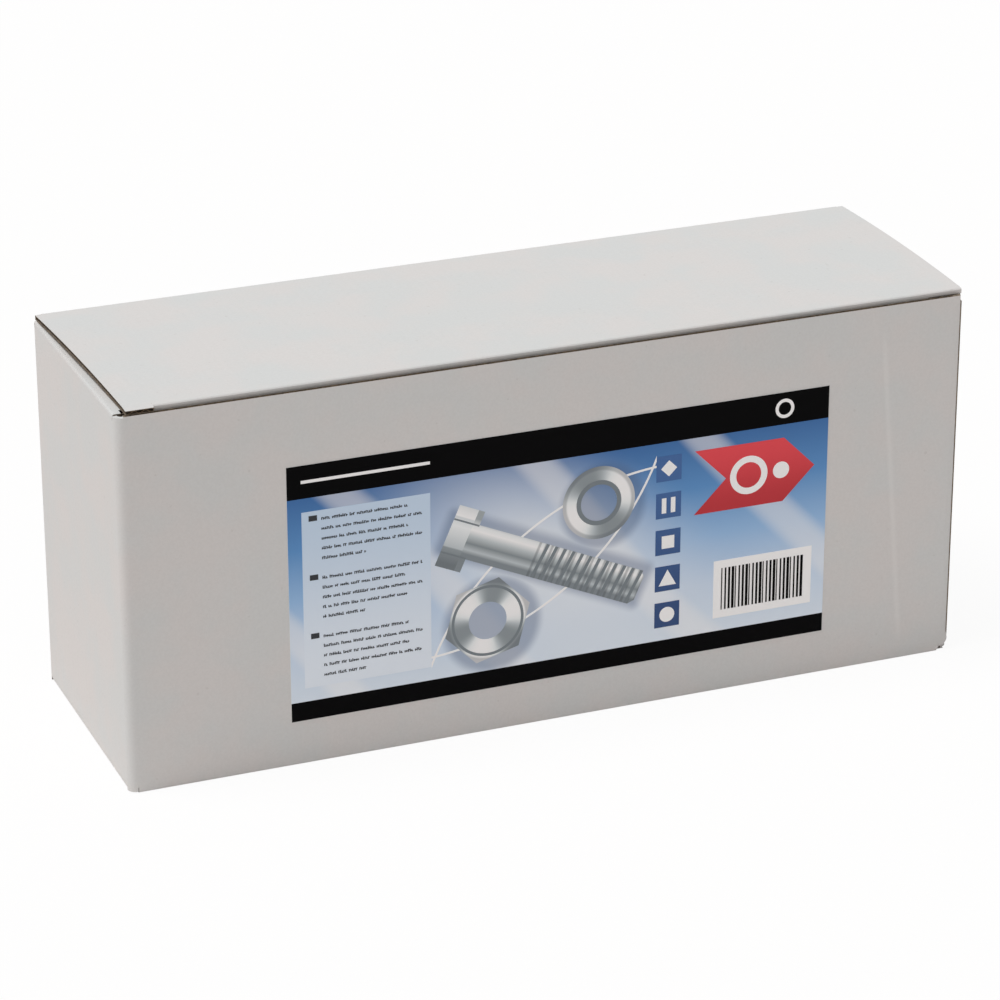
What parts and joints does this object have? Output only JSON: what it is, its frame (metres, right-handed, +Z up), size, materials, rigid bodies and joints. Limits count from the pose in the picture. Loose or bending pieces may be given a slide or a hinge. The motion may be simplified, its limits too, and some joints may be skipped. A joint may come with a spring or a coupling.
{
  "type": "corrugated carton",
  "caption": "Closed oblong carton of white corrugated board with a tuck-in lid and a printed label on its front panel.",
  "frame": {"origin": "middle of the base, on the surface that the carton stands on", "axes": "+X along the carton towards its right end, seen from the front; the label faces -Y; +Z up"},
  "size_m": [0.31, 0.0988, 0.14],
  "materials": {
    "white_board": "matte white-lined corrugated board, brown inside",
    "label_paper": "coated label paper",
    "ink_blue": "ink printed on coated paper",
    "ink_black": "ink printed on coated paper",
    "ink_pale": "ink printed on coated paper",
    "ink_navy": "ink printed on coated paper",
    "ink_red": "ink printed on coated paper",
    "ink_silver": "ink printed on coated paper",
    "ink_steel": "ink printed on coated paper",
    "ink_white": "ink printed on coated paper",
    "ink_text": "ink printed on coated paper"
  },
  "bodies": {
    "carton": {"carton": "white_board", "label_paper": "label_paper", "label_blue": "ink_blue", "label_black": "ink_black", "label_pale": "ink_pale", "label_navy": "ink_navy", "label_red": "ink_red", "label_silver": "ink_silver", "label_steel": "ink_steel", "label_white": "ink_white", "label_text": "ink_text"},
    "lid": {"lid": "white_board"}
  },
  "joints": [
    {"name": "lid_hinge", "type": "hinge", "parent": "carton", "child": "lid", "pos_m": [0, 0.04866, 0.13841], "axis": [-1, 0, 0], "range_deg": [0, 180]}
  ]
}
